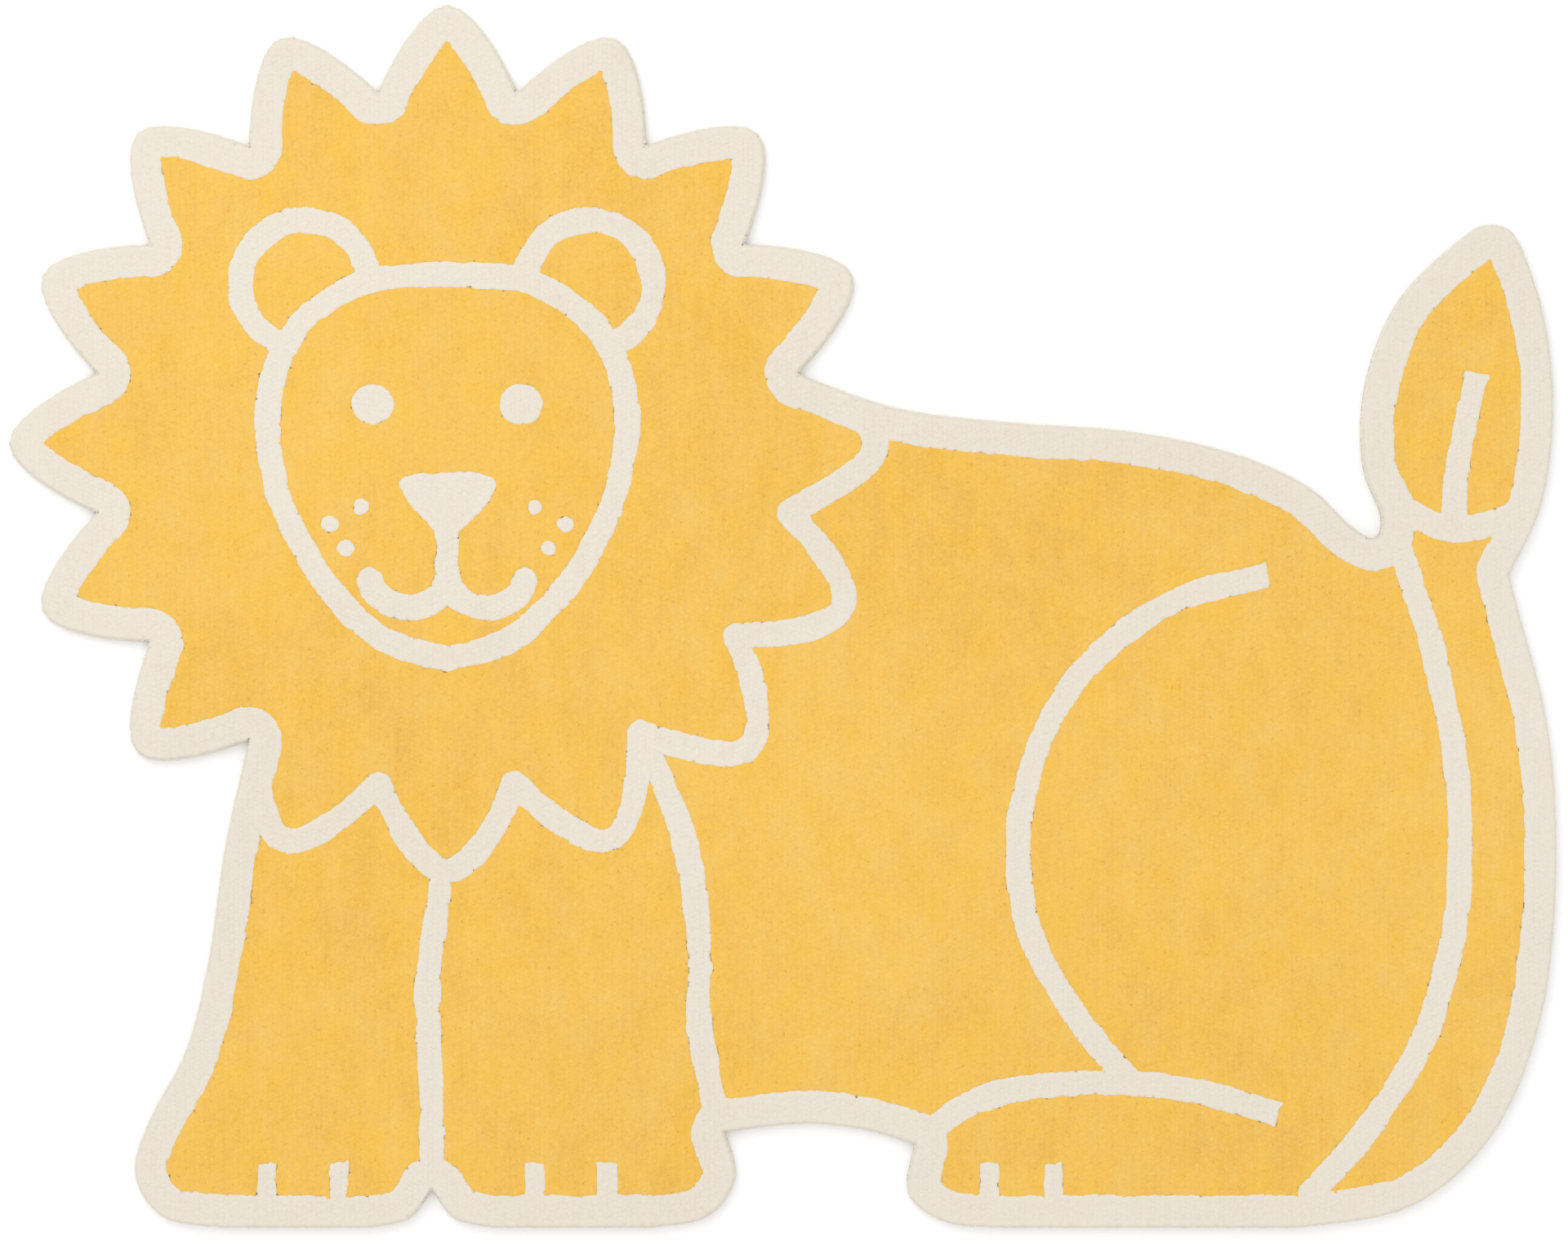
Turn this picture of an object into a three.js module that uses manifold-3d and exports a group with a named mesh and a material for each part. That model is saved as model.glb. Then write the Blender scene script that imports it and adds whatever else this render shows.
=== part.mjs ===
// A lion-shaped floor rug for a child's room. The real piece is hand-tufted: wool yarn is shot
// through a cotton cloth, latex and a second cloth close the back, and the finished mat is cut
// to the outline of a lying lion. The pile is shorn level, and rounded over around its edge.
// Everything is one piece, so the rug is one flat solid.
import * as THREE from 'three';
import { mergeVertices } from 'three/addons/utils/BufferGeometryUtils.js';
import Module from 'manifold-3d';

// Driving dimensions in millimetres. The origin is at the middle of the underside, +X runs
// towards the lion's tail and +Y towards the top of its mane.
const LENGTH = 1500;
const WIDTH = 1186;
const THICKNESS = 12;
const EDGE_ROUND = 6;
const EDGE_STEPS = 4;

// The mane is a round of even locks about the middle of the head.
const LOCKS = 16;
const MANE_RADIUS = 425;
const LOCK_DEPTH = 79;
const LOCK_TIP_SOFTNESS = 0.22;
const LOCK_SIDE_CURVE = 1.08;
const LOCK_STEPS = 14;
const HEAD = new THREE.Vector2(MANE_RADIUS - LENGTH / 2, WIDTH / 2 - MANE_RADIUS);

// The mane is free of the body from one valley between two locks to another, in degrees
// anticlockwise from +X: from where the back starts to where the far foreleg starts.
const BACK_VALLEY = 11.25;
const FORELEG_VALLEY = 236.25;

// All paws stand on one straight line at the bottom.
const GROUND = -WIDTH / 2;
const CURVE_STEPS = 5;

// The rest of the outline, anticlockwise from the far foreleg to the back. Each row is a smooth
// curve, or a straight line, from the last row's end through its own points, in x and y. Rows
// meet at a corner or on a flat run. The tail stands up behind the rump and ends in a leaf-shaped
// tuft, and the last row comes down the tuft's inner side and runs along the back to the mane.
const BODY_OUTLINE = [
  {
    name: 'far foreleg',
    through: [
      [-540, -220], [-556, -330], [-578, -420], [-612, -485], [-628, -540], [-600, -583], [-540, GROUND],
    ],
  },
  { name: 'far sole', through: [[-400, GROUND]] },
  { name: 'far toes', through: [[-362, -584], [-340, -556]] },
  { name: 'near toes', through: [[-318, -584], [-280, GROUND]] },
  { name: 'near sole', through: [[-130, GROUND]] },
  { name: 'near foreleg', through: [[-74, -583], [-46, -545], [-56, -500]] },
  { name: 'belly', through: [[20, -492], [80, -498], [128, -512]] },
  { name: 'hind toes', through: [[122, -560], [160, -588], [220, GROUND]] },
  { name: 'hind sole', through: [[500, GROUND]] },
  {
    name: 'rump and tail',
    through: [
      [610, -572], [690, -500], [735, -390], [750, -250], [742, -110], [712, 10], [704, 40],
    ],
  },
  { name: 'tuft', through: [[736, 110], [747, 200], [738, 290], [712, 366], [690, 380]] },
  {
    name: 'back',
    through: [
      [666, 372], [600, 310], [566, 230], [562, 150], [580, 98], [574, 76], [550, 88],
      [506, 128], [430, 160], [330, 180], [220, 188], [110, 202],
    ],
  },
];

// A point on the mane's edge. The lock's side follows a hyperbola, so that its tip is round,
// its sides are nearly straight and the valley is crisp.
function manePoint(degrees) {
  const turns = degrees * LOCKS / 360;
  const fromTip = 2 * Math.abs(turns - Math.round(turns));
  const rise = Math.hypot(fromTip, LOCK_TIP_SOFTNESS) - LOCK_TIP_SOFTNESS;
  const fullRise = Math.hypot(1, LOCK_TIP_SOFTNESS) - LOCK_TIP_SOFTNESS;
  const radius = MANE_RADIUS - LOCK_DEPTH * (rise / fullRise) ** LOCK_SIDE_CURVE;
  const angle = THREE.MathUtils.degToRad(degrees);
  return new THREE.Vector2(radius * Math.cos(angle), radius * Math.sin(angle)).add(HEAD);
}

// The free part of the mane, an even number of steps to each lock.
function manePoints() {
  const span = FORELEG_VALLEY - BACK_VALLEY;
  const steps = Math.round(span * LOCKS / 360 * LOCK_STEPS);
  return Array.from({ length: steps + 1 }, (_, i) => manePoint(BACK_VALLEY + span * i / steps));
}

// The rug's whole outline as one closed shape.
function lionShape() {
  const shape = new THREE.Shape(manePoints());
  for (const { name, through } of BODY_OUTLINE) {
    const points = through.map(([x, y]) => new THREE.Vector2(x, y));
    if (name === 'back') {
      points.push(manePoint(BACK_VALLEY));
    }
    shape.splineThru(points);
  }
  return shape;
}

// A closed mesh with shared corners, as a solid that can be cut.
function solidOf(wasm, geometry) {
  const bare = geometry.clone();
  bare.deleteAttribute('normal');
  bare.deleteAttribute('uv');
  const merged = mergeVertices(bare, 1e-3);
  const mesh = new wasm.Mesh({
    numProp: 3,
    vertProperties: new Float32Array(merged.attributes.position.array),
    triVerts: new Uint32Array(merged.index.array),
  });
  return new wasm.Manifold(mesh);
}

// A solid turned back into a geometry.
function geometryOf(solid) {
  const mesh = solid.getMesh();
  const geometry = new THREE.BufferGeometry();
  geometry.setAttribute('position', new THREE.BufferAttribute(mesh.vertProperties, mesh.numProp));
  geometry.setIndex(new THREE.BufferAttribute(mesh.triVerts, 1));
  const flat = geometry.toNonIndexed();
  flat.computeVertexNormals();
  return flat;
}

// The mat: the outline extruded with a rounded upper rim. The lower rim that the extrusion
// also rounds lies below the underside and is cut away, so the mat lies flat to its edge.
function matGeometry(wasm) {
  const raw = new THREE.ExtrudeGeometry(lionShape(), {
    depth: THICKNESS,
    curveSegments: CURVE_STEPS,
    bevelEnabled: true,
    bevelSize: EDGE_ROUND,
    bevelOffset: -EDGE_ROUND,
    bevelThickness: EDGE_ROUND,
    bevelSegments: EDGE_STEPS,
  });
  raw.translate(0, 0, -EDGE_ROUND);
  const below = new THREE.BoxGeometry(2 * LENGTH, 2 * WIDTH, 2 * THICKNESS);
  below.translate(0, 0, -THICKNESS);
  const mat = geometryOf(solidOf(wasm, raw).subtract(solidOf(wasm, below)));
  mat.computeBoundingBox();
  const middle = mat.boundingBox.getCenter(new THREE.Vector3());
  return mat.translate(-middle.x, -middle.y, 0);
}

const wasm = await Module();
wasm.setup();

const pile = new THREE.MeshStandardMaterial({ color: 0xfbcc65, roughness: 0.95, metalness: 0 });
const rug = new THREE.Mesh(matGeometry(wasm), pile);
rug.name = 'rug';

const group = new THREE.Group();
group.add(rug);

export default group;
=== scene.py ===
import bpy
import numpy as np
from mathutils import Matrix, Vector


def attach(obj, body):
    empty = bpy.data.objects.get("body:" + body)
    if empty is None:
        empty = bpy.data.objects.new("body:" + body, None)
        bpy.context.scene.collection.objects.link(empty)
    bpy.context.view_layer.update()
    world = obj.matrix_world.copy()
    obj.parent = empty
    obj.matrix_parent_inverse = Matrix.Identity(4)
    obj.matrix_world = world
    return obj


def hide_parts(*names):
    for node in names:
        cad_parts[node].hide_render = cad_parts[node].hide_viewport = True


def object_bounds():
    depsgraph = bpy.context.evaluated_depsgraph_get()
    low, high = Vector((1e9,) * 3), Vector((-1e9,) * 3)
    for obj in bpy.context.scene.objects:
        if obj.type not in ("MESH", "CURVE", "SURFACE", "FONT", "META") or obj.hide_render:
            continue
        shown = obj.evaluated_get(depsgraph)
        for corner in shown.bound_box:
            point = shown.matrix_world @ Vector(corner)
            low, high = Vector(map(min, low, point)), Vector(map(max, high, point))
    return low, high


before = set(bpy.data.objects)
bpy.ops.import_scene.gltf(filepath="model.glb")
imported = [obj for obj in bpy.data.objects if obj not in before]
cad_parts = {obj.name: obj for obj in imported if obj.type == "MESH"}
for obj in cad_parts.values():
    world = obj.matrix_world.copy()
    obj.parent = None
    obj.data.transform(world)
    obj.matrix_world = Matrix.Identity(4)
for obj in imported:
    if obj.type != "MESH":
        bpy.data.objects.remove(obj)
cad_low, cad_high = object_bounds()

# The view. The rug lies flat on the floor and is seen from straight above through a long lens,
# so that its outline keeps its true proportions. It almost fills the picture's width.
PICTURE_WIDTH_PX = 1920
RUG_WIDTH_PX = 1897
RUG_LEFT_OF_MIDDLE_PX = 1.5
RUG_ABOVE_MIDDLE_PX = 7.5
CAMERA_HEIGHT = 5.0
SENSOR_WIDTH_MM = 36.0


def new_object(name, data):
    """An object that holds the data, put in the scene at the origin and unturned."""
    made = bpy.data.objects.new(name, data)
    bpy.context.scene.collection.objects.link(made)
    return made


metres_per_px = (cad_high.x - cad_low.x) / RUG_WIDTH_PX
rug_middle = (cad_low + cad_high) / 2
camera_data = bpy.data.cameras.new("camera_above")
camera_data.sensor_width = SENSOR_WIDTH_MM
camera_data.lens = SENSOR_WIDTH_MM * CAMERA_HEIGHT / (PICTURE_WIDTH_PX * metres_per_px)
camera = new_object("camera_above", camera_data)
camera.location = (
    rug_middle.x + RUG_LEFT_OF_MIDDLE_PX * metres_per_px,
    rug_middle.y - RUG_ABOVE_MIDDLE_PX * metres_per_px,
    cad_high.z + CAMERA_HEIGHT,
)
bpy.context.scene.camera = camera

# The mat under the pile: canvas shot through with yarn, brushed with latex and closed with a
# second cotton cloth, then cut to the lion's outline. Only its thin cut edge and its underside
# show, so its top just slopes up to the pile's roots out of sight.
MM = 0.001
MICROMETRES = 1e6
BACKING_THICKNESS = 2.85 * MM
THREAD_SPACING = 2.4 * MM
THREAD_WAVER = 0.6
BACKING_DARK = (0.48, 0.432, 0.344)
BACKING_PALE = (0.672, 0.6048, 0.4816)
DARK_UP_TO = 0.2
PALE_FROM = 0.75
ROOT_DARK = (0.56, 0.44, 0.224)
ROOT_PALE = (0.77, 0.605, 0.308)

# The heights of the steps in the solid's rounded edge, and how high the mat lies at each.
EDGE_LEVELS = np.array([0.0, 6.0, 8.3, 10.24, 11.54, 12.0]) * MM
MAT_LEVELS = np.array([0.0, 2.2, 2.5, 2.8, 6.0, 10.2]) * MM

# How many bands a metre holds in a wave texture of scale 1, about.
BANDS_PER_METRE = 3.1416

# Noises: a patch's spans along X, Y and Z in metres, and how fine and how rough it is. Each share
# says how much a noise or the weave counts in the cotton's shade.
COTTON_FUZZ = {"sizes": (4 * MM, 4 * MM, 4 * MM), "detail": 3.0}
COTTON_STAINS = {"sizes": (0.12, 0.12, 0.12)}
ROOT_MOTTLE = {"sizes": (3 * MM, 3 * MM, 3 * MM)}
WEAVE_SHARE = 0.22
FUZZ_SHARE = 0.5
STAIN_SHARE = 0.3


def joined_node(name):
    """The CAD node's corners and triangles, with all corners in one place counted as one: places
    are rounded to whole micrometres and each is kept once."""
    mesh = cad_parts[name].data
    places = np.empty(len(mesh.vertices) * 3, np.float32)
    mesh.vertices.foreach_get("co", places)
    corners = np.empty(len(mesh.loops), np.int32)
    mesh.loops.foreach_get("vertex_index", corners)
    rounded = np.round(places.reshape(-1, 3).astype(float) * MICROMETRES).astype(np.int64)
    unique, index = np.unique(rounded, axis=0, return_inverse=True)
    return unique / MICROMETRES, index.reshape(-1)[corners].reshape(-1, 3)


def make_mesh(name, points, faces, smooth):
    """A new object from whole arrays: points are n by 3 in metres, faces m by 3 or 4."""
    mesh = bpy.data.meshes.new(name)
    sides = faces.shape[1]
    mesh.vertices.add(len(points))
    mesh.vertices.foreach_set("co", np.asarray(points, np.float32).ravel())
    mesh.loops.add(faces.size)
    mesh.loops.foreach_set("vertex_index", np.asarray(faces, np.int32).ravel())
    mesh.polygons.add(len(faces))
    mesh.polygons.foreach_set("loop_start", np.arange(0, faces.size, sides, dtype=np.int32))
    mesh.polygons.foreach_set("use_smooth", np.full(len(faces), smooth))
    mesh.update(calc_edges=True)
    mesh.validate()
    return new_object(name, mesh)


def new_material(name):
    """An empty node material: itself, its nodes, its links and its shader."""
    material = bpy.data.materials.new(name)
    material.use_nodes = True
    nodes = material.node_tree.nodes
    return material, nodes, material.node_tree.links, nodes["Principled BSDF"]


def math_node(nodes, links, operation, first, second):
    """One sum, product or the like of two numbers, each a socket or a plain number."""
    node = nodes.new("ShaderNodeMath")
    node.operation = operation
    for socket, value in zip(node.inputs, (first, second)):
        if isinstance(value, (int, float)):
            socket.default_value = value
        else:
            links.new(value, socket)
    return node.outputs[0]


def weighted_sum(nodes, links, start, parts):
    """A plain number, plus each part times its share."""
    total = start
    for value, share in parts:
        product = math_node(nodes, links, "MULTIPLY", value, share)
        total = math_node(nodes, links, "ADD", total, product)
    return total


def object_noise(nodes, links, sizes, detail=2.0, roughness=0.5):
    """Noise on object coordinates, about 0.5 on average: each coordinate is divided by a patch's
    span along it."""
    place = nodes.new("ShaderNodeTexCoord")
    stretch = nodes.new("ShaderNodeMapping")
    stretch.inputs["Scale"].default_value = [1 / size for size in sizes]
    noise = nodes.new("ShaderNodeTexNoise")
    noise.inputs["Scale"].default_value = 1.0
    noise.inputs["Detail"].default_value = detail
    noise.inputs["Roughness"].default_value = roughness
    links.new(place.outputs["Object"], stretch.inputs["Vector"])
    links.new(stretch.outputs["Vector"], noise.inputs["Vector"])
    return noise.outputs["Fac"]


def colour_ramp(nodes, links, value, stops):
    """A ramp through the stops from first to last, each a place on it and a colour."""
    ramp = nodes.new("ShaderNodeValToRGB")
    elements = ramp.color_ramp.elements
    elements[0].position = stops[0][0]
    elements[1].position = stops[-1][0]
    for place, _ in stops[1:-1]:
        elements.new(place)
    for element, (_, colour) in zip(elements, stops):
        element.color = (*colour, 1)
    links.new(value, ramp.inputs["Fac"])
    return ramp.outputs["Color"]


def add_bump(nodes, links, shader, height, strength, distance):
    """Relief by a height that runs from 0 to 1 over the distance in metres."""
    bump = nodes.new("ShaderNodeBump")
    bump.inputs["Strength"].default_value = strength
    bump.inputs["Distance"].default_value = distance
    links.new(height, bump.inputs["Height"])
    links.new(bump.outputs["Normal"], shader.inputs["Normal"])


def backing_material():
    """Plain woven cotton: bands across X times bands across Y give a net of threads, and fuzz and
    stains are added to it, each by its share."""
    material, nodes, links, shader = new_material("backing_cotton")
    place = nodes.new("ShaderNodeTexCoord")
    threads = []
    for direction in ("X", "Y"):
        band = nodes.new("ShaderNodeTexWave")
        band.wave_type = "BANDS"
        band.bands_direction = direction
        band.inputs["Scale"].default_value = 1 / (THREAD_SPACING * BANDS_PER_METRE)
        band.inputs["Distortion"].default_value = THREAD_WAVER
        links.new(place.outputs["Object"], band.inputs["Vector"])
        threads.append(band.outputs["Fac"])
    shade = weighted_sum(nodes, links, 0.0, [
        (math_node(nodes, links, "MULTIPLY", *threads), WEAVE_SHARE),
        (object_noise(nodes, links, **COTTON_FUZZ), FUZZ_SHARE),
        (object_noise(nodes, links, **COTTON_STAINS), STAIN_SHARE),
    ])
    stops = [(DARK_UP_TO, BACKING_DARK), (PALE_FROM, BACKING_PALE)]
    colour = colour_ramp(nodes, links, shade, stops)
    links.new(colour, shader.inputs["Base Color"])
    add_bump(nodes, links, shader, shade, strength=0.7, distance=0.4 * MM)
    shader.inputs["Roughness"].default_value = 0.95
    shader.inputs["Specular IOR Level"].default_value = 0.2
    return material


def root_material():
    """The foot of the pile, mottled from dark to pale by one noise. It is seen only between two
    tufts that stand apart."""
    material, nodes, links, shader = new_material("pile_roots")
    mottle = object_noise(nodes, links, **ROOT_MOTTLE)
    colour = colour_ramp(nodes, links, mottle, [(0, ROOT_DARK), (1, ROOT_PALE)])
    links.new(colour, shader.inputs["Base Color"])
    shader.inputs["Roughness"].default_value = 1.0
    shader.inputs["Specular IOR Level"].default_value = 0.1
    return material


solid_points, solid_faces = joined_node("rug")
mat_points = solid_points.copy()
mat_points[:, 2] = np.interp(solid_points[:, 2], EDGE_LEVELS, MAT_LEVELS)
mat = make_mesh("mat", mat_points, solid_faces, smooth=False)
mat.data.materials.append(backing_material())
mat.data.materials.append(root_material())
under_pile = mat_points[solid_faces, 2].mean(axis=1) > BACKING_THICKNESS
mat.data.polygons.foreach_set("material_index", under_pile.astype(np.int32))
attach(mat, "root")
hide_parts("rug")

# The drawing, marked on the canvas before the yarn is shot in: a cream rim all round and cream
# lines on yellow. It is laid out here as lines and dots, and each tuft later takes the colour of
# what it stands on.
RIM_WIDTH = 32 * MM
LINE_WIDTH = 24 * MM
TOE_WIDTH = 18 * MM
EYE_RADIUS = 20 * MM
WHISKER_RADIUS = 7.5 * MM
CURVE_STEPS = 10
ARC_STEPS = 40
MANE_STEPS = 400

# The mane's even locks about the middle of the head, from the valley over the forelegs round to
# the valley over the back. The two valleys are in degrees anticlockwise from +X.
HEAD = np.array([-325.0, 168.0]) * MM
LOCKS = 16
MANE_RADIUS = 425 * MM
LOCK_DEPTH = 79 * MM
LOCK_TIP_SOFTNESS = 0.22
LOCK_SIDE_CURVE = 1.08
MANE_LINE_INSET = 10 * MM
FORELEG_VALLEY = 236.25 - 360
BACK_VALLEY = 11.25

# Half of the face, from the forehead down to the chin, in millimetres. x is measured from the
# head's middle and y from the rug's.
FACE_SIDE = [(0, 332), (84, 322), (148, 276), (174, 200), (160, 110), (116, 30), (62, -22), (0, -40)]
NOSE = [(0, 72), (-34, 104), (-44, 132), (0, 140), (44, 132), (34, 104), (0, 72)]
LIP = [(0, 80), (0, 34)]
EAR = {"middle": (138, 322), "radii": (62, 62), "degrees": (-62, 175)}
MOUTH = {"middle": (38, 42), "radii": (38, 34), "degrees": (-180, -12)}
EYE = (72, 206)
WHISKERS = [(84, 106), (114, 90), (98, 66)]

# The body's lines, in millimetres from the rug's middle.
BODY_LINES = {
    "between the forelegs": [(-332, -262), (-344, -360), (-340, -460), (-340, -556)],
    "near foreleg": [(-134, -124), (-98, -210), (-82, -300), (-80, -400), (-60, -500)],
    "haunch": [(470, 40), (370, 10), (280, -66), (232, -180), (238, -300), (286, -390), (334, -447)],
    "hind foot": [(128, -512), (190, -468), (290, -452), (390, -458), (480, -482)],
    "tail": [(600, 60), (634, -50), (654, -170), (652, -290), (624, -400), (572, -490), (510, -560)],
    "tuft's foot": [(585, 112), (650, 84), (722, 104)],
    "tuft's vein": [(650, 84), (654, 150), (672, 236)],
}
TOES = [-500, -430, -240, -170, 200, 262]
TOE_FOOT = -593
TOE_TIP = -530

# The yarn is shot in by hand, so the colour edges waver about the drawn lines.
COLOUR_EDGE_WANDERS = [
    # how far the edge strays, over what length, and the seed
    {"depth": 1.3 * MM, "length": 28 * MM, "seed": 21},
    {"depth": 0.8 * MM, "length": 10 * MM, "seed": 22},
]

# The net of random values behind all soft patches, and which of its cells the rug's middle is in.
NET_CELLS = (97, 89)
NET_MIDDLE = 40

# The underside's corners all lie lower than this.
UNDERSIDE_LIMIT = 0.01 * MM

# Distances are worked out for so many pairs of a point and a step at a time, to save memory.
PAIRS_AT_ONCE = 2_000_000


def smooth_line(points):
    """A smooth curve through the points: on each span the two ends and the slopes there, half the
    step between the neighbouring points, are blended by cubic weights."""
    knots = np.asarray(points, float) * MM
    here = np.arange(len(knots) - 1)
    start, end = knots[here], knots[here + 1]
    slope_in = (end - knots[np.maximum(here - 1, 0)]) / 2
    slope_out = (knots[np.minimum(here + 2, len(knots) - 1)] - start) / 2
    t = np.linspace(0, 1, CURVE_STEPS, endpoint=False)[:, None, None]
    curve = (
        (2 * t**3 - 3 * t**2 + 1) * start
        + (t**3 - 2 * t**2 + t) * slope_in
        + (3 * t**2 - 2 * t**3) * end
        + (t**3 - t**2) * slope_out
    )
    return np.vstack([curve.swapaxes(0, 1).reshape(-1, 2), knots[-1:]])


def arc_line(middle, radii, degrees):
    """Part of an oval: its middle plus the radii times cosine and sine."""
    angles = np.radians(np.linspace(*degrees, ARC_STEPS))
    return (np.array(middle) + np.array(radii) * np.column_stack([np.cos(angles), np.sin(angles)])) * MM


def mane_line(first, last, inset):
    """The mane's edge between two angles in degrees: the radius falls from each lock's tip to the
    valleys beside it along a hyperbola, which rounds the tip and keeps the sides nearly straight."""
    degrees = np.linspace(first, last, MANE_STEPS)
    turns = degrees * LOCKS / 360
    from_tip = 2 * np.abs(turns - np.round(turns))
    rise = np.hypot(from_tip, LOCK_TIP_SOFTNESS) - LOCK_TIP_SOFTNESS
    full_rise = np.hypot(1, LOCK_TIP_SOFTNESS) - LOCK_TIP_SOFTNESS
    radius = MANE_RADIUS - LOCK_DEPTH * (rise / full_rise) ** LOCK_SIDE_CURVE - inset
    angles = np.radians(degrees)
    return HEAD + radius[:, None] * np.column_stack([np.cos(angles), np.sin(angles)])


def on_head(line):
    """A line whose x is measured from the head's middle, and its mirror image, both moved there."""
    return [HEAD * (1, 0) + line, HEAD * (1, 0) + line * (-1, 1)]


lines = [(mane_line(FORELEG_VALLEY, BACK_VALLEY, MANE_LINE_INSET), LINE_WIDTH)]
for drawn in (smooth_line(FACE_SIDE), smooth_line(LIP), arc_line(**EAR), arc_line(**MOUTH)):
    lines += [(line, LINE_WIDTH) for line in on_head(drawn)]
lines += [(smooth_line(points), LINE_WIDTH) for points in BODY_LINES.values()]
lines += [(np.array([(x, TOE_FOOT), (x, TOE_TIP)]) * MM, TOE_WIDTH) for x in TOES]
for spot, radius in [(EYE, EYE_RADIUS)] + [(spot, WHISKER_RADIUS) for spot in WHISKERS]:
    lines += [(line, 2 * radius) for line in on_head(np.array([spot, spot]) * MM)]
nose_outline = on_head(smooth_line(NOSE))[0]

free_ends = [(BODY_LINES["haunch"][0], BODY_LINES["haunch"][1])]
free_ends += [(BODY_LINES[name][-1], BODY_LINES[name][-2]) for name in ("hind foot", "tuft's vein")]
free_ends += [((x, TOE_TIP), (x, TOE_FOOT)) for x in TOES]
free_ends = np.array(free_ends) * MM


def outline_steps(points, faces):
    """The outline's straight steps, each with the rug on its left: the edges of the underside's
    faces that no other face of the underside shares."""
    under = faces[(points[faces, 2] < UNDERSIDE_LIMIT).all(axis=1)]
    edges = np.vstack([under[:, [0, 1]], under[:, [1, 2]], under[:, [2, 0]]])
    keys = edges.min(axis=1) * len(points) + edges.max(axis=1)
    _, first, count = np.unique(keys, return_index=True, return_counts=True)
    border = edges[first[count == 1]]
    return points[border[:, 1], :2], points[border[:, 0], :2]


outline = outline_steps(solid_points, solid_faces)


def spans_of(line):
    """The starts and ends of a line's straight steps."""
    return line[:-1], line[1:]


def length_of(vectors):
    """The length of each vector: the root of the sum of its squares."""
    return np.hypot(*vectors.T)


def in_blocks(points, starts):
    """The points in so many blocks that each, times the steps, stays small."""
    return np.array_split(points, max(1, len(points) * len(starts) // PAIRS_AT_ONCE))


def distance_to(points, starts, ends):
    """Each point's distance to the nearest of some straight steps: along a step the nearest spot
    is the point's shadow on it, held between the step's two ends. A dot is a step of no length."""
    step = ends - starts
    length_squared = (step**2).sum(axis=1)
    length_squared[length_squared == 0] = 1
    nearest = []
    for block in in_blocks(points, starts):
        away = block[:, None] - starts
        along = np.clip((away * step).sum(axis=2) / length_squared, 0, 1)
        nearest.append(np.sqrt(((away - along[..., None] * step) ** 2).sum(axis=2).min(axis=1)))
    return np.concatenate(nearest)


def is_inside(points, starts, ends):
    """Whether a ray from each point along +X crosses the closed outline an odd number of times."""
    inside = []
    for block in in_blocks(points, starts):
        x, y = block[:, :1], block[:, 1:]
        crosses = (starts[:, 1] > y) != (ends[:, 1] > y)
        rise = np.where(ends[:, 1] == starts[:, 1], 1.0, ends[:, 1] - starts[:, 1])
        cross_x = starts[:, 0] + (y - starts[:, 1]) / rise * (ends[:, 0] - starts[:, 0])
        inside.append((crosses & (x < cross_x)).sum(axis=1) % 2 == 1)
    return np.concatenate(inside)


def soft_patches(points, size, seed):
    """A smooth random field from -1 to 1: random values on a net with cells of that size, which
    repeats where it ends, blended along both axes by the eased weight 3t^2 - 2t^3."""
    net = np.random.default_rng(seed).uniform(-1, 1, NET_CELLS)
    cell = points / size + NET_MIDDLE
    low = np.floor(cell).astype(int)
    part = cell - low
    part = part * part * (3 - 2 * part)
    i, j = (low % NET_CELLS).T
    i_next, j_next = ((low + 1) % NET_CELLS).T
    bottom = net[i, j] * (1 - part[:, 0]) + net[i_next, j] * part[:, 0]
    top = net[i, j_next] * (1 - part[:, 0]) + net[i_next, j_next] * part[:, 0]
    return bottom * (1 - part[:, 1]) + top * part[:, 1]


def outline_depth(places):
    """How far inside the rug each place lies: its distance to the outline."""
    return distance_to(places, *outline)


def cream_margin(places):
    """How far inside a cream field each place lies, in metres, and below 0 on yellow: the rim's
    width or a line's half width less the distance to it, whichever is more, a little uneven. A
    line's free end is cut square, as far as a place lies beyond it."""
    margin = RIM_WIDTH - outline_depth(places)
    for line, width in lines:
        margin = np.maximum(margin, width / 2 - distance_to(places, *spans_of(line)))
    for end, before_end in free_ends:
        beyond = (places - end) @ (end - before_end) / length_of(end - before_end)
        at_end = length_of(places - end) < LINE_WIDTH
        margin = np.where(at_end, np.minimum(margin, -beyond), margin)
    nose_depth = distance_to(places, *spans_of(nose_outline))
    in_nose = is_inside(places, *spans_of(nose_outline))
    margin = np.maximum(margin, np.where(in_nose, nose_depth, -nose_depth))
    for wander in COLOUR_EDGE_WANDERS:
        margin = margin + wander["depth"] * soft_patches(places, wander["length"], wander["seed"])
    return margin


# The pile: two-ply wool shot in upright rows, a lock of fibres at each stitch, shorn so close and
# level that the cut ends bloom into one felted face. Each tuft is a low flat dome that overlaps
# its neighbours. The tufts beside a colour edge follow the marked line, half a stitch off it.
PILE_HEIGHT = 12 * MM
YELLOW_PIECES = 4
CREAM_PIECES = 2

# Stitches: the rows, how far a row wanders sideways over how wide and long a patch, and how far
# a stitch strays across its row and along it.
ROW_SPACING = 4.7 * MM
STITCH_SPACING = 4.5 * MM
ROW_WANDER = 0.6 * MM
ROW_WANDER_PATCH = (3 * MM, 30 * MM)
STITCH_JITTER = (0.7 * MM, 1.0 * MM)

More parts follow.
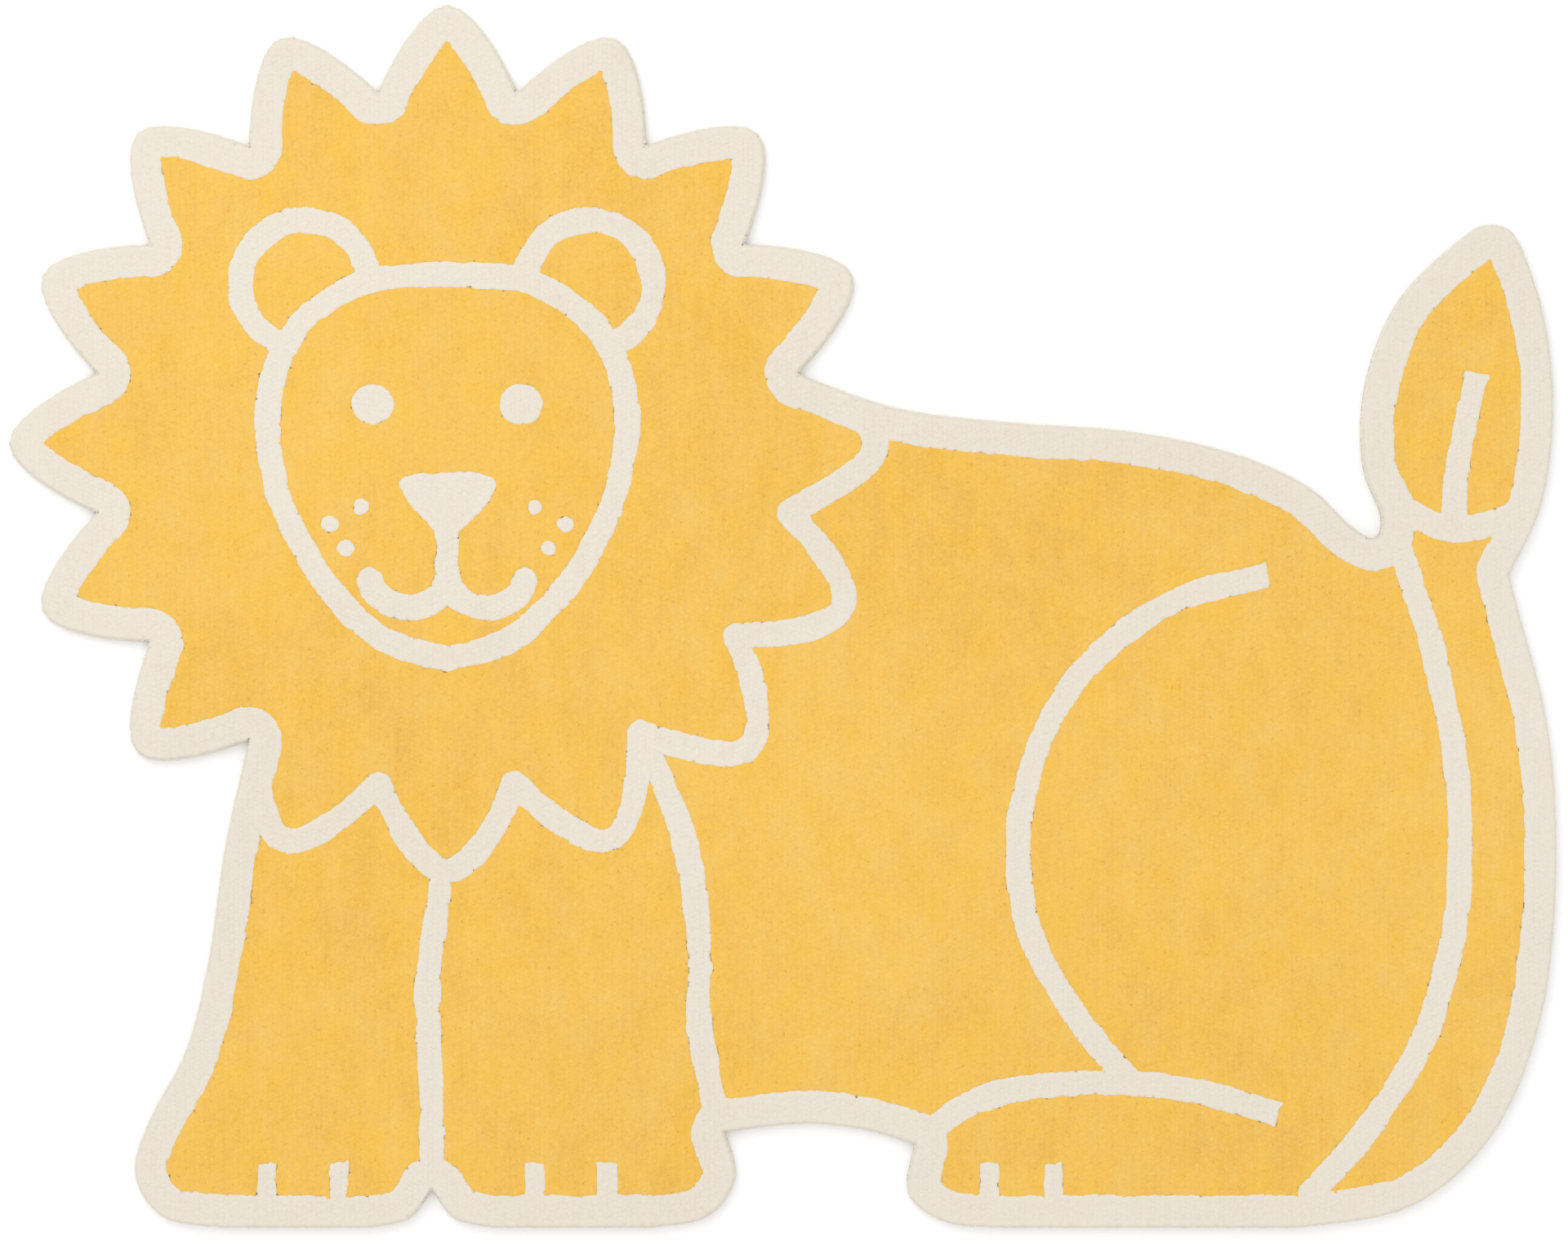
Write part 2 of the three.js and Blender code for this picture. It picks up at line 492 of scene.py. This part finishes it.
# Edges: stitches are led along them at these offsets. The outline's own tufts end some way in, to
# leave room for the free locks, and tufts within half the reach of an edge are wider and flatter.
COLOUR_EDGE_OFFSET = 2.2 * MM
OUTLINE_OFFSET = 4.6 * MM
OUTLINE_CLEARANCE = 2.6 * MM
EDGE_REACH = 7 * MM
EDGE_TUFT_SIZE = 1.25
EDGE_TUFT_DROP = 0.16 * MM
SHOULDER_WIDTH = 0.3 * MM
SHOULDER_OVERLAP = (0.3 * MM, 0.8 * MM)
SHOULDER_DROP = 0.4 * MM
SLOPE_STEP = 0.2 * MM
LEAST_SLOPE = 0.3

# Tufts: a dome's rings, the soft rise and fall of the shorn face, and the lean of the nap, which
# on average lies down the rug.
TUFT_SIDES = 5
TUFT_RADIUS = 4.2 * MM
TUFT_DROP = 0.42 * MM
TUFT_RINGS = [
    # each ring's part of the tuft's radius, and of the tip's lean
    {"radius": 0.68, "lean": 0.4},
    {"radius": 1.16, "lean": 0.0},
]
TUFT_UNEVENNESS = 0.15
CAP_UNEVENNESS = 0.03 * MM
PILE_UNEVENNESS = 0.05 * MM
PILE_SWELL = 0.35 * MM
PILE_SWELL_PATCH = 70 * MM
NAP_LEAN = 0.5 * MM
NAP_WAY = (0, -0.5)
NAP_PATCH = 45 * MM
NAP_UNEVENNESS = 0.6
CAP_SLANT = 0.05
CAP_SLANT_PATCH = 40 * MM
CAP_SLANT_UNEVENNESS = 0.022

# Values for the wool: each tuft's own tone, and tone in streaks along the rows.
OWN_TONE = 0.6
STREAK_TONE = 0.4
STREAK_SQUEEZE = (1, 0.06)

# How much of its own cell of the UV map a tuft or a lock fills.
CELL_FILL = 0.92

random_tuft = np.random.default_rng(7)


def either_way(reach, shape):
    """Random values spread evenly from minus the reach to plus the reach."""
    return random_tuft.uniform(-reach, reach, shape)


def soft_vectors(points, size, seeds):
    """One smooth random field for X beside another for Y."""
    return np.column_stack([soft_patches(points, size, seed) for seed in seeds])


def stitch_places():
    """Stitches inside the outline: upright rows, every second one shifted by half a stitch, that
    wander a little sideways. Returns each stitch's place, its row and how far inside it lies."""
    rows = np.arange(cad_low.x, cad_high.x, ROW_SPACING)
    stitches = np.arange(cad_low.y, cad_high.y, STITCH_SPACING)
    row, stitch = [a.ravel() for a in np.meshgrid(np.arange(len(rows)), np.arange(len(stitches)))]
    places = np.column_stack([rows[row], stitches[stitch] + (row % 2) * STITCH_SPACING / 2])
    places[:, 0] += ROW_WANDER * soft_patches(places, ROW_WANDER_PATCH, seed=11)
    places += either_way(1, places.shape) * STITCH_JITTER
    inside = is_inside(places, *outline)
    places, row = places[inside], row[inside]
    depth = outline_depth(places)
    kept = depth > OUTLINE_OFFSET / 2
    return places[kept], row[kept], depth[kept]


def way_from_edge(places, depth, measure):
    """The direction straight away from an edge, for places that lie within reach of it, else 0:
    the rise of the depth that measure gives, over a small step along X and along Y, made one
    long, or shorter where it hardly rises. The depth is counted from the edge, to either side."""
    near = np.flatnonzero(np.abs(depth) < EDGE_REACH)
    slope = np.column_stack([
        measure(places[near] + (SLOPE_STEP, 0)) - depth[near],
        measure(places[near] + (0, SLOPE_STEP)) - depth[near],
    ])
    way = np.zeros_like(places)
    way[near] = slope / np.maximum(length_of(slope), LEAST_SLOPE * SLOPE_STEP)[:, None]
    return way * np.where(depth > 0, 1, -1)[:, None]


def led_along(places, depth, way, offset):
    """Stitches closer to an edge than the offset are moved straight away from it, to the
    offset. Returns their places and how far each is from the edge."""
    room = np.maximum(np.abs(depth), offset)
    return places + way * (room - np.abs(depth))[:, None], room


stitch_xy, stitch_row, stitch_depth = stitch_places()
from_outline = way_from_edge(stitch_xy, stitch_depth, outline_depth)
stitch_xy, outline_room = led_along(stitch_xy, stitch_depth, from_outline, OUTLINE_OFFSET)
stitch_cream = cream_margin(stitch_xy)
from_colour_edge = way_from_edge(stitch_xy, stitch_cream, cream_margin)
stitch_xy, colour_room = led_along(stitch_xy, stitch_cream, from_colour_edge, COLOUR_EDGE_OFFSET)


def pulled_back(away, edges, is_outer):
    """A ring's corners, as ways from each tuft's middle, pulled straight back where they lie
    beyond an edge: on the inner ring to a shoulder's width before it, on the outer ring to a
    little past it. Returns them and how far each went over the shoulder, from 0 to 1."""
    shoulder = np.zeros(away.shape[:2])
    for room, way in edges:
        past = random_tuft.uniform(*SHOULDER_OVERLAP, shoulder.shape) if is_outer else -SHOULDER_WIDTH
        beyond = -(away * way[:, None]).sum(axis=2) - room[:, None] - past
        away = away + np.maximum(beyond, 0)[..., None] * way[:, None]
        if is_outer:
            shoulder = np.maximum(shoulder, np.clip(beyond / SHOULDER_WIDTH, 0, 1))
    return away, shoulder


def tuft_faces():
    """One dome's triangles: a fan from its tip to the inner ring, and two to each side between
    the inner ring and the outer. The tip is corner 0, and the rings follow it."""
    here = np.arange(TUFT_SIDES)
    there = (here + 1) % TUFT_SIDES
    fan = np.column_stack([np.zeros(TUFT_SIDES, int), 1 + here, 1 + there])
    first = np.column_stack([1 + here, 1 + TUFT_SIDES + here, 1 + TUFT_SIDES + there])
    second = np.column_stack([1 + here, 1 + TUFT_SIDES + there, 1 + there])
    return np.vstack([fan, first, second])


def tuft_arrays(xy, edges):
    """Domes of one tip and two rings of corners. A corner sits at the tuft's middle plus the
    ring's uneven radius times cosine and sine of its angle, and lies lower by the fourth power
    of its distance, less so near an edge, and steeply over an edge's shoulder. The tip leans with
    the nap. edges are pairs of each tuft's room to an edge and its way from it. Returns points,
    triangles, the painted shade of each point, darker the lower it lies below the tip, its tone,
    and each point's place in its own cell of the UV map, from -0.5 to 0.5."""
    count = len(xy)
    corners = 1 + len(TUFT_RINGS) * TUFT_SIDES
    nearest = np.minimum.reduce([room for room, way in edges])
    by_edge = nearest < EDGE_REACH / 2
    turns = np.arange(TUFT_SIDES) * 2 * np.pi / TUFT_SIDES
    angle = random_tuft.uniform(0, 2 * np.pi, (count, 1)) + turns
    size = 1 + either_way(TUFT_UNEVENNESS, (count, TUFT_SIDES))
    size *= np.where(by_edge, EDGE_TUFT_SIZE, 1)[:, None]
    drop = np.where(by_edge, EDGE_TUFT_DROP, TUFT_DROP)[:, None]
    height = PILE_HEIGHT + PILE_SWELL * soft_patches(xy, PILE_SWELL_PATCH, seed=31)
    height += either_way(PILE_UNEVENNESS, count)
    lean = NAP_WAY + soft_vectors(xy, NAP_PATCH, seeds=(41, 42)) + either_way(NAP_UNEVENNESS, (count, 2))
    lean *= NAP_LEAN * np.clip(nearest / EDGE_REACH, 0, 1)[:, None]
    slant = CAP_SLANT * soft_vectors(xy, CAP_SLANT_PATCH, seeds=(43, 44))
    slant += either_way(CAP_SLANT_UNEVENNESS, (count, 2))
    points = np.empty((count, corners, 3))
    points[:, 0, :2] = xy + lean
    points[:, 0, 2] = height
    cell = np.zeros((count, corners, 2))
    shade = np.zeros((count, corners))
    circle = np.stack([np.cos(angle), np.sin(angle)], axis=2)
    for number, ring in enumerate(TUFT_RINGS):
        own = slice(1 + number * TUFT_SIDES, 1 + (number + 1) * TUFT_SIDES)
        away = TUFT_RADIUS * ring["radius"] * size[..., None] * circle + ring["lean"] * lean[:, None]
        away, shoulder = pulled_back(away, edges, is_outer=ring is TUFT_RINGS[-1])
        points[:, own, :2] = xy[:, None] + away
        fall = drop * (np.hypot(away[..., 0], away[..., 1]) / TUFT_RADIUS) ** 4
        fall += SHOULDER_DROP * shoulder
        tilt = (away * slant[:, None]).sum(axis=2)
        uneven = either_way(CAP_UNEVENNESS, (count, TUFT_SIDES))
        points[:, own, 2] = height[:, None] - fall + tilt + uneven
        cell[:, own] = circle * ring["radius"] / TUFT_RINGS[-1]["radius"] * CELL_FILL / 2
        # Painted shade: a corner is darker the further it lies below its tip, standing in for the shade
        # between tufts and over an edge's shoulder.
        shade[:, own] = np.minimum(1, fall / TUFT_DROP)
    faces = tuft_faces()[None] + (np.arange(count) * corners)[:, None, None]
    tone = either_way(OWN_TONE, count)
    tone += STREAK_TONE * soft_patches(xy * STREAK_SQUEEZE, ROW_SPACING, seed=51)
    return points, faces, shade, np.repeat(tone[:, None], corners, axis=1), cell


def add_point_value(piece, name, values):
    """One number for each point, which a material reads by its name."""
    layer = piece.data.attributes.new(name, "FLOAT", "POINT")
    layer.data.foreach_set("value", np.asarray(values, np.float32).ravel())


def add_cell_map(piece, cell):
    """A UV map of equal square cells, one for each tuft or lock: the cell's middle plus the
    point's place in it, divided by the number of cells on a side."""
    count = len(cell)
    side = int(np.ceil(np.sqrt(count)))
    middle = np.column_stack([np.arange(count) % side, np.arange(count) // side]) + 0.5
    point_uv = ((middle[:, None] + cell) / side).reshape(-1, 2)
    corners = np.empty(len(piece.data.loops), np.int32)
    piece.data.loops.foreach_get("vertex_index", corners)
    layer = piece.data.uv_layers.new(name="OFBake")
    layer.data.foreach_set("uv", point_uv[corners].astype(np.float32).ravel())


# The two dyed yarns: the colours that the wool's tone runs through, moved along them by random patches
# and by a painted shade, the tints that it fades between, and how strongly all its patches and fibres
# show.
YELLOW = {
    "deep": (0.66, 0.34, 0.052),
    "usual": (0.86, 0.517, 0.121),
    "light": (0.935, 0.617, 0.187),
    "rich": (1.0, 0.985, 0.62),
    "faded": (0.98, 1.0, 1.0),
    "grain": 1.3,
}
CREAM = {
    "deep": (0.60, 0.53, 0.42),
    "usual": (0.775, 0.715, 0.62),
    "light": (0.86, 0.81, 0.73),
    "rich": (1.0, 0.985, 0.955),
    "faded": (0.99, 1.0, 1.0),
    "grain": 0.5,
}
RICH_UP_TO = 0.34
FADED_FROM = 0.66
SHEEN_TINT = (1.0, 0.97, 0.9)
WOOL_ROUGHNESS = 0.84
FIBRE_ROUGHNESS = 0.15

# What the wool's tone is made up of: noises, as for the backing, each tuft's own tone and its painted
# shade, and the share of each.
WOOL_MIDDLE = 0.52
NOISE_MIDDLE = 0.5
PATCHES = {"sizes": (0.035, 0.055, 0.045), "detail": 6.0, "roughness": 0.9}
STREAKS = {"sizes": (0.006, 0.16, 0.05)}
DRIFT = {"sizes": (0.5, 0.5, 0.5), "detail": 1.0}
FLECKS = {"sizes": (4 * MM, 6 * MM, 6 * MM), "detail": 3.0, "roughness": 0.75}
FIBRES = {"sizes": (0.6 * MM, 0.6 * MM, 4 * MM), "detail": 3.0, "roughness": 0.8}
FADING = {"sizes": (0.04, 0.06, 0.07), "detail": 6.0, "roughness": 0.8}
PATCH_SHARE = 0.60
STREAK_SHARE = 0.08
DRIFT_SHARE = 0.30
FLECK_SHARE = 2.4
FLECK_LIMIT = 0.1
FIBRE_SHARE = 0.35
TONE_SHARE = 0.02
PAINTED_SHADE_SHARE = -0.08


def off_middle(nodes, links, value):
    """A noise less its average."""
    return math_node(nodes, links, "SUBTRACT", value, NOISE_MIDDLE)


def fleck_value(nodes, links):
    """Stray dark and pale fibres: noise about 5 mm across, less its average, beyond a limit to
    either side of 0, and 0 everywhere else."""
    noise = off_middle(nodes, links, object_noise(nodes, links, **FLECKS))
    over = math_node(nodes, links, "SUBTRACT", noise, FLECK_LIMIT)
    under = math_node(nodes, links, "ADD", noise, FLECK_LIMIT)
    pale = math_node(nodes, links, "MAXIMUM", over, 0.0)
    dark = math_node(nodes, links, "MINIMUM", under, 0.0)
    return math_node(nodes, links, "ADD", pale, dark)


def point_value(nodes, name):
    """The number that a piece's points hold under that name."""
    reader = nodes.new("ShaderNodeAttribute")
    reader.attribute_name = name
    return reader.outputs["Fac"]


def wool_material(name, deep, usual, light, rich, faded, grain):
    """Cut wool. One number picks a colour from deep through usual to light: a middle value, plus
    patches of every size from 40 mm down to the fibres, plus upright streaks and a slow drift
    and the tuft's own tone, less a painted shade towards the root, with dark and pale flecks
    here and there. Patches of the same kind multiply that by a tint between rich and faded."""
    material, nodes, links, shader = new_material(name)
    fibres = object_noise(nodes, links, **FIBRES)
    tone = weighted_sum(nodes, links, WOOL_MIDDLE, [
        (off_middle(nodes, links, object_noise(nodes, links, **PATCHES)), PATCH_SHARE * grain),
        (off_middle(nodes, links, object_noise(nodes, links, **STREAKS)), STREAK_SHARE * grain),
        (off_middle(nodes, links, object_noise(nodes, links, **DRIFT)), DRIFT_SHARE),
        (fleck_value(nodes, links), FLECK_SHARE * grain),
        (off_middle(nodes, links, fibres), FIBRE_SHARE * grain),
        (point_value(nodes, "tuft_tone"), TONE_SHARE),
        # Painted shade: the tufts' and locks' painted shade lowers the tone towards the deep colour.
        (point_value(nodes, "painted_shade"), PAINTED_SHADE_SHARE),
    ])
    fading = object_noise(nodes, links, **FADING)
    colour = nodes.new("ShaderNodeVectorMath")
    colour.operation = "MULTIPLY"
    dye_and_painted_shade = colour_ramp(nodes, links, tone, [(0, deep), (0.5, usual), (1, light)])
    tint = colour_ramp(nodes, links, fading, [(RICH_UP_TO, rich), (FADED_FROM, faded)])
    links.new(dye_and_painted_shade, colour.inputs[0])
    links.new(tint, colour.inputs[1])
    links.new(colour.outputs["Vector"], shader.inputs["Base Color"])
    add_bump(nodes, links, shader, fibres, strength=0.8, distance=0.5 * MM)
    roughness = weighted_sum(nodes, links, WOOL_ROUGHNESS, [(fibres, FIBRE_ROUGHNESS)])
    links.new(roughness, shader.inputs["Roughness"])
    shader.inputs["Specular IOR Level"].default_value = 0.15
    shader.inputs["Sheen Weight"].default_value = 0.12
    shader.inputs["Sheen Roughness"].default_value = 0.6
    shader.inputs["Sheen Tint"].default_value = (*SHEEN_TINT, 1)
    return material


yellow_wool = wool_material("yellow_wool", **YELLOW)
cream_wool = wool_material("cream_wool", **CREAM)


def make_pile(name, slot, material, points, faces, shade, tone, cell):
    """A joined piece of tufts or locks, with their painted shade and tone and a cell of the map each."""
    joined = faces.reshape(-1, faces.shape[-1])
    piece = make_mesh(name, points.reshape(-1, 3), joined, smooth=True)
    add_point_value(piece, "painted_shade", shade)
    add_point_value(piece, "tuft_tone", tone)
    add_cell_map(piece, cell)
    piece.data.materials.append(material)
    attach(piece, "root")
    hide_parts("rug")


for colour, material, count, chosen in (
    ("yellow", yellow_wool, YELLOW_PIECES, stitch_cream <= 0),
    ("cream", cream_wool, CREAM_PIECES, stitch_cream > 0),
):
    members = np.flatnonzero(chosen)
    members = members[np.lexsort((stitch_xy[members, 1], stitch_row[members]))]
    for number, part in enumerate(np.array_split(members, count), start=1):
        edges = [
            (outline_room[part] - OUTLINE_CLEARANCE, from_outline[part]),
            (colour_room[part], from_colour_edge[part]),
        ]
        arrays = tuft_arrays(stitch_xy[part], edges)
        make_pile(f"pile_{colour}_{number}", f"{colour}_pile", material, *arrays)

# The pile's edge: the outermost tufts stand free on their outer side, so they lean out over the
# cut backing and are clipped round at the top. Each lock is a narrow half-round strip that
# climbs from the backing's edge and bends inwards under its neighbours.
LOCK_SPACING = 3.6 * MM
LOCK_REACH = 4.5 * MM
LOCK_WIDTH = 5.2 * MM
LOCK_CREASE = 1.1 * MM
LOCK_COLUMNS = 3
LOCK_ROUTE = [
    # how far in from the outline, how high, how wide and how much painted shade darkens it
    {"inset": 0.7 * MM, "height": 2.0 * MM, "width": 0.8, "shade": 0.9},
    {"inset": -0.4 * MM, "height": 4.6 * MM, "width": 1.0, "shade": 0.5},
    {"inset": 0.2 * MM, "height": 8.2 * MM, "width": 1.0, "shade": 0.35},
    {"inset": 1.6 * MM, "height": 10.7 * MM, "width": 0.95, "shade": 0.2},
    {"inset": 3.6 * MM, "height": 11.7 * MM, "width": 0.85, "shade": 0.2},
    {"inset": 6.4 * MM, "height": 10.6 * MM, "width": 0.7, "shade": 0.9},
]

# How far single locks differ: in their way out and their place, in a bulge outwards half way up,
# a twist to one side and the height of their tops, in girth, and in tone.
LOCK_WAY_UNEVENNESS = 0.12
LOCK_PLACE_UNEVENNESS = 0.4 * MM
LOCK_BULGE = 1.8 * MM
LOCK_TWIST = 0.8 * MM
LOCK_TOP_UNEVENNESS = 0.3 * MM
LOCK_GIRTHS = (0.95, 1.3)
# The locks' tone sits lower on average than the tufts', a painted shade for the rim where the pile
# curves down.
LOCK_PAINTED_SHADE_TONE = -1.0
LOCK_TONE_REACH = 1.5

# A strip's cross section is this near to half a circle, and its sunk sides are darkened by
# this much painted shade, as in a crease.
LOCK_ROUNDNESS = 0.999
LOCK_SIDE_PAINTED_SHADE = 0.5


def place_keys(points):
    """A whole number for each place: its x plus ten million times its y, in micrometres."""
    return np.round(points * MICROMETRES).astype(np.int64) @ (1, 10_000_000)


def end_normals(starts, ends):
    """The way out at both ends of each straight step: the step's own normal plus the normal of
    the step that ends where it starts, or starts where it ends."""
    step = ends - starts
    normal = step[:, ::-1] * (1, -1) / length_of(step)[:, None]
    start_key, end_key = place_keys(starts), place_keys(ends)
    before = normal[np.argsort(end_key)][np.searchsorted(np.sort(end_key), start_key)]
    after = normal[np.argsort(start_key)][np.searchsorted(np.sort(start_key), end_key)]
    return normal + before, normal + after


def lock_roots(starts, ends):
    """Places set evenly along each straight step of the outline, from its start, and the way out
    at each, which turns evenly from one end's to the other's. A step in a hollow corner, where
    the locks' inner ends fan apart, gets more of them, by that turn times their reach."""
    start_normal, end_normal = end_normals(starts, ends)
    cross = start_normal[:, 0] * end_normal[:, 1] - start_normal[:, 1] * end_normal[:, 0]
    hollow_turn = np.maximum(0, -np.arctan2(cross, (start_normal * end_normal).sum(axis=1)))
    fanned_length = length_of(ends - starts) + LOCK_REACH * hollow_turn
    number = np.maximum(1, np.round(fanned_length / LOCK_SPACING).astype(int))
    owner = np.repeat(np.arange(len(starts)), number)
    within = np.arange(len(owner)) - np.repeat(np.cumsum(number) - number, number)
    along = (within / number[owner])[:, None]
    outward = start_normal[owner] * (1 - along) + end_normal[owner] * along
    outward += either_way(LOCK_WAY_UNEVENNESS, outward.shape)
    outward /= length_of(outward)[:, None]
    return starts[owner] + along * (ends - starts)[owner], outward


def lock_arrays(starts, ends):
    """Half-round strips that stand on the outline. A point is the lock's place, less the route's
    inset along the way out, plus its part of the width along the tangent; the strip's sides lie a
    crease deeper than its middle, inwards where the route climbs and downwards where it levels
    off. Returns the same arrays as for the tufts."""
    base, outward = lock_roots(starts, ends)
    count = len(base)
    tangent = outward[:, ::-1] * (-1, 1)
    base += tangent * either_way(LOCK_PLACE_UNEVENNESS, (count, 1))
    bulge = either_way(LOCK_BULGE, count)
    twist = either_way(LOCK_TWIST, count)
    girth = random_tuft.uniform(*LOCK_GIRTHS, count)
    top = either_way(LOCK_TOP_UNEVENNESS, count)
    across = np.linspace(-0.5, 0.5, LOCK_COLUMNS)
    sunk = 1 - np.sqrt(1 - (2 * across) ** 2 * LOCK_ROUNDNESS)
    depth = LOCK_CREASE * sunk
    rise = np.gradient([form["height"] for form in LOCK_ROUTE])
    slope = rise / np.hypot(rise, np.gradient([form["inset"] for form in LOCK_ROUTE]))
    points = np.empty((count, len(LOCK_ROUTE), LOCK_COLUMNS, 3))
    shade = np.empty((count, len(LOCK_ROUTE), LOCK_COLUMNS))
    for level, form in enumerate(LOCK_ROUTE):
        lift = form["height"] / PILE_HEIGHT
        out = bulge * lift * (1 - lift) - form["inset"]
        side = across * LOCK_WIDTH * form["width"] * girth[:, None] + (twist * lift)[:, None]
        flat = outward[:, None] * (out[:, None] - depth * max(slope[level], 0.0))[..., None]
        points[:, level, :, :2] = base[:, None] + flat + tangent[:, None] * side[..., None]
        points[:, level, :, 2] = form["height"] + (top * lift)[:, None] - depth * (1 - abs(slope[level]))
        # Painted shade on the locks: darker at the foot and at the tucked-in end, and along each strip's
        # sunk sides.
        shade[:, level] = np.minimum(1, form["shade"] + LOCK_SIDE_PAINTED_SHADE * sunk)
    grid = np.arange(len(LOCK_ROUTE) * LOCK_COLUMNS).reshape(len(LOCK_ROUTE), LOCK_COLUMNS)
    quads = np.stack([grid[:-1, :-1], grid[:-1, 1:], grid[1:, 1:], grid[1:, :-1]], axis=-1)
    faces = quads.reshape(-1, 4)[None] + (np.arange(count) * grid.size)[:, None, None]
    tone = LOCK_PAINTED_SHADE_TONE + either_way(LOCK_TONE_REACH, count)
    cell = np.empty((len(LOCK_ROUTE), LOCK_COLUMNS, 2))
    cell[..., 0] = CELL_FILL * across
    cell[..., 1] = CELL_FILL * np.linspace(-0.5, 0.5, len(LOCK_ROUTE))[:, None]
    return (
        points.reshape(count, -1, 3),
        faces,
        shade.reshape(count, -1),
        np.repeat(tone[:, None], grid.size, axis=1),
        np.broadcast_to(cell.reshape(1, -1, 2), (count, grid.size, 2)),
    )


make_pile("pile_edge", "cream_pile", cream_wool, *lock_arrays(*outline))

# The studio: a plain white floor, an even white surround and one broad soft light from the upper
# left, which gives the nap its faint relief.
WHITE = (1, 1, 1)
FLOOR_SIZE = 60.0
FLOOR_GAP = 0.2 * MM
FLOOR_COLOUR = (0.965, 0.965, 0.965)
SURROUND_STRENGTH = 1.02
SOFT_LIGHT = {"place": (-1.9, 2.9, 3.6), "size": 3.2, "watts": 54.0}

floor_corners = np.array([(-1, -1), (1, -1), (1, 1), (-1, 1)]) * FLOOR_SIZE / 2
floor_points = np.column_stack([floor_corners, np.full(4, cad_low.z - FLOOR_GAP)])
floor = make_mesh("floor", floor_points, np.array([[0, 1, 2, 3]]), smooth=False)
floor_material, _, _, floor_shader = new_material("white_floor")
floor_shader.inputs["Base Color"].default_value = (*FLOOR_COLOUR, 1)
floor_shader.inputs["Roughness"].default_value = 0.9
floor_shader.inputs["Specular IOR Level"].default_value = 0.1
floor.data.materials.append(floor_material)

world = bpy.data.worlds.new("surround")
world.use_nodes = True
world.node_tree.nodes["Background"].inputs["Color"].default_value = (*WHITE, 1)
world.node_tree.nodes["Background"].inputs["Strength"].default_value = SURROUND_STRENGTH
bpy.context.scene.world = world

light_data = bpy.data.lights.new("soft_light", "AREA")
light_data.size = SOFT_LIGHT["size"]
light_data.energy = SOFT_LIGHT["watts"]
soft_light = new_object("soft_light", light_data)
soft_light.location = SOFT_LIGHT["place"]
soft_light.rotation_euler = (-soft_light.location).to_track_quat("-Z", "Y").to_euler()
bpy.context.scene.view_settings.view_transform = "Standard"
